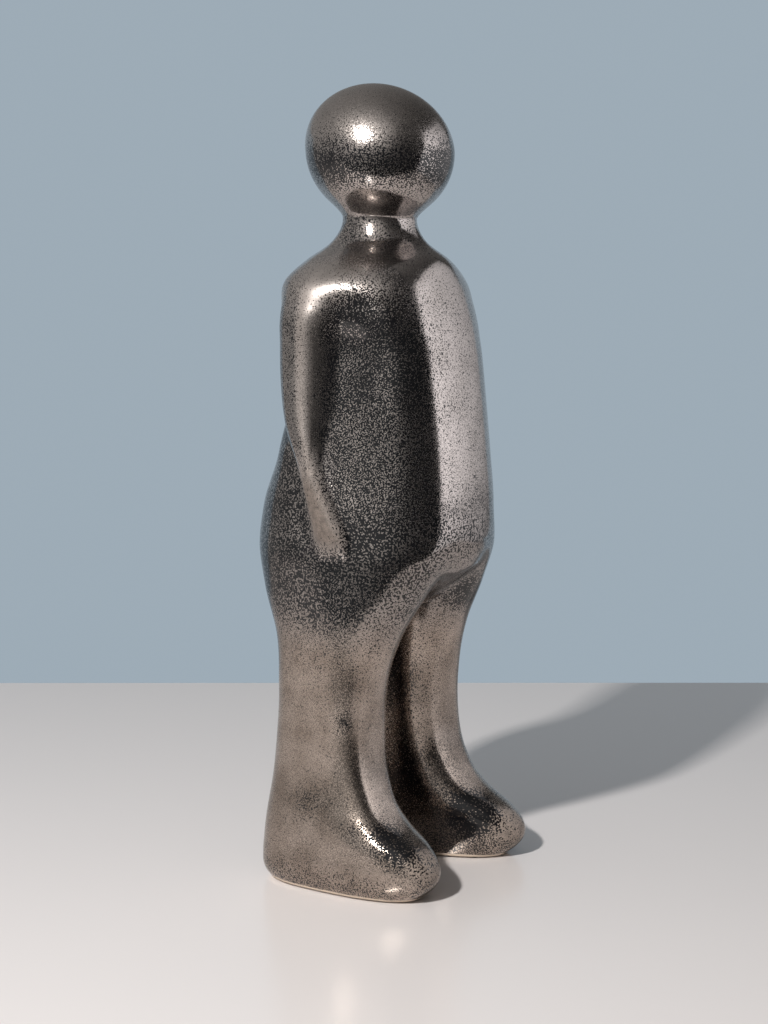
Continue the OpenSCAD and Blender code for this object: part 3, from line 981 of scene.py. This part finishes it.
def around(degrees, distance, height):
    """A point round the figure's axis, by its angle from the camera towards the camera's right."""
    turn = math.radians(degrees)
    return axis + (to_camera * math.cos(turn) + to_right * math.sin(turn)) * distance + upwards * height


def slab(name, corners, material):
    """A flat face of the stage, from its corners."""
    mesh = bpy.data.meshes.new(name)
    mesh.from_pydata(corners, [], [range(len(corners))])
    mesh.materials.append(material)
    made = bpy.data.objects.new(name, mesh)
    bpy.context.scene.collection.objects.link(made)
    return made


def emitter(name, colour, strength=1.0):
    """A material that reflects nothing and gives off light, and its shader."""
    made, shader = new_material(name)
    shader.inputs["Base Color"].default_value = (0, 0, 0, 1)
    shader.inputs["Specular IOR Level"].default_value = 0
    shader.inputs["Emission Color"].default_value = colour
    shader.inputs["Emission Strength"].default_value = strength
    return made, shader


def only_mirrored(made):
    """Lets an emitter show in reflections alone."""
    made.visible_camera = False
    made.visible_diffuse = False
    made.visible_shadow = False


def stood(made, place, target):
    """Stands a light or a camera at a place and turns it to its target."""
    made.location = place
    made.rotation_mode = "QUATERNION"
    made.rotation_quaternion = (target - place).to_track_quat("-Z", "Y")
    bpy.context.scene.collection.objects.link(made)


table_material, table_shader = new_material("pale_table")
table_shader.inputs["Base Color"].default_value = table_colour
table_shader.inputs["Roughness"].default_value = table_roughness
table_corners = [
    (table_back, table_side),
    (table_front, table_side),
    (table_front, -table_side),
    (table_back, -table_side),
]
slab("table", [axis + to_camera * near + to_right * s for near, s in table_corners], table_material)

wall_material = emitter("wall", wall_colour)[0]
wall_corners = [
    (-wall_side, wall_low),
    (wall_side, wall_low),
    (wall_side, wall_high),
    (-wall_side, wall_high),
]
wall_foot = axis + to_camera * wall_far
wall = slab("wall", [wall_foot + to_right * s + upwards * z for s, z in wall_corners], wall_material)
wall.visible_diffuse = False

# The key light, small and hard, over the camera's left
chest_height = 0.25
key_turn = -30
key_far = 1.3
key_height = 1.1
key_size = 0.09
key_watts = 28
key_colour = (1, 0.97, 0.94)
chest = axis + upwards * chest_height
lamp = bpy.data.lights.new("key", "AREA")
lamp.size = key_size
lamp.energy = key_watts
lamp.color = key_colour
key = bpy.data.objects.new("key", lamp)
key.visible_camera = False
stood(key, around(key_turn, key_far, key_height), chest)

# Its glow on the ceiling behind it, a disc that fades outwards and shows as a halo on the glaze
glow_wide = 2.1
glow_behind = 0.1
glow_sides = 24
glow_strength = 0.75
glow_colour = (1, 0.98, 0.96, 1)
glow_material, glow_shader = emitter("key_glow", glow_colour, glow_strength)
glow_away = (key.location - chest).normalized()
glow_middle = key.location + glow_away * glow_behind
glow_side = glow_away.cross(upwards).normalized()
glow_up = glow_side.cross(glow_away)
glow_place = object_place(glow_material)
glow_off = node(glow_material, "ShaderNodeVectorMath", {0: glow_place, 1: glow_middle}, "Value",
                operation="DISTANCE")
connect(glow_material, glow_shader, Alpha=ranged(glow_material, glow_off, 0, glow_wide, 1, 0, smooth=True))
only_mirrored(slab("glow", [
    glow_middle + (glow_side * math.cos(turn) + glow_up * math.sin(turn)) * glow_wide
    for turn in np.linspace(0, math.tau, glow_sides, endpoint=False)
], glow_material))

# A tall bright panel at the camera's right, which the front of the trunk and the legs mirror. Its nearer
# edge slants, and it fades towards its foot, its top and its far side.
panel_turn = 98
panel_far = 0.6
panel_outline = [(58, 0.0), (62, 0.35), (66, 0.47), (79, 0.79), (138, 0.79), (138, 0.0)]
panel_colour = (0.98, 0.97, 1, 1)
# Two heights, or two distances towards the far side, and the strengths there
foot_fade = (0.08, 0.24, 0.6, 1.0)
top_fade = (0.58, 0.78, 1.0, 0.85)
far_fade = (-0.3, 0.45, 1.5, 0.48)
panel_material, panel_shader = emitter("panel_glow", panel_colour)
panel_angle = math.radians(panel_turn)
panel_along = to_right * math.cos(panel_angle) - to_camera * math.sin(panel_angle)
panel_place = object_place(panel_material)
panel_height = node(panel_material, "ShaderNodeSeparateXYZ", {0: panel_place}, "Z")
panel_side = node(panel_material, "ShaderNodeVectorMath", {0: panel_place, 1: panel_along}, "Value",
                  operation="DOT_PRODUCT")
panel_foot = ranged(panel_material, panel_height, *foot_fade, smooth=True)
panel_top = ranged(panel_material, panel_height, *top_fade, smooth=True)
panel_fade = ranged(panel_material, panel_side, *far_fade)
panel_upright = combine(panel_material, panel_foot, panel_top, "MULTIPLY")
connect(panel_material, panel_shader,
        Emission_Strength=combine(panel_material, panel_upright, panel_fade, "MULTIPLY"))
only_mirrored(slab("panel", [
    around(panel_turn, panel_far, z) + panel_along * panel_far * math.tan(math.radians(turn - panel_turn))
    for turn, z in panel_outline
], panel_material))

# The room's own light, brighter from the camera's left and from above
room_colour = (1, 0.985, 0.97, 1)
room_dark = 0.05
room_bright = 0.35
room_turn = (-0.6, 0.8)
bright_lift = 0.35
room = bpy.data.worlds.new("room")
room.use_nodes = True
bpy.context.scene.world = room
bright_side = (upwards * bright_lift - to_right).normalized()
outwards = node(room, "ShaderNodeTexCoord", output="Generated")
towards = node(room, "ShaderNodeVectorMath", {0: outwards, 1: bright_side}, "Value", operation="DOT_PRODUCT")
background = room.node_tree.nodes["Background"]
background.inputs["Color"].default_value = room_colour
connect(room, background, Strength=ranged(room, towards, *room_turn, room_dark, room_bright, smooth=True))

# The camera's lens, distance and height, and the point near the axis that it is turned to
camera_lens = 69.2
camera_far = 1.0
camera_height = 0.315
aim_right = 0.002
aim_height = 0.1845
camera = bpy.data.objects.new("camera", bpy.data.cameras.new("camera"))
camera.data.lens = camera_lens
stood(camera, axis + to_camera * camera_far + upwards * camera_height,
      axis + to_right * aim_right + upwards * aim_height)
bpy.context.scene.camera = camera
bpy.context.scene.view_settings.view_transform = "Standard"
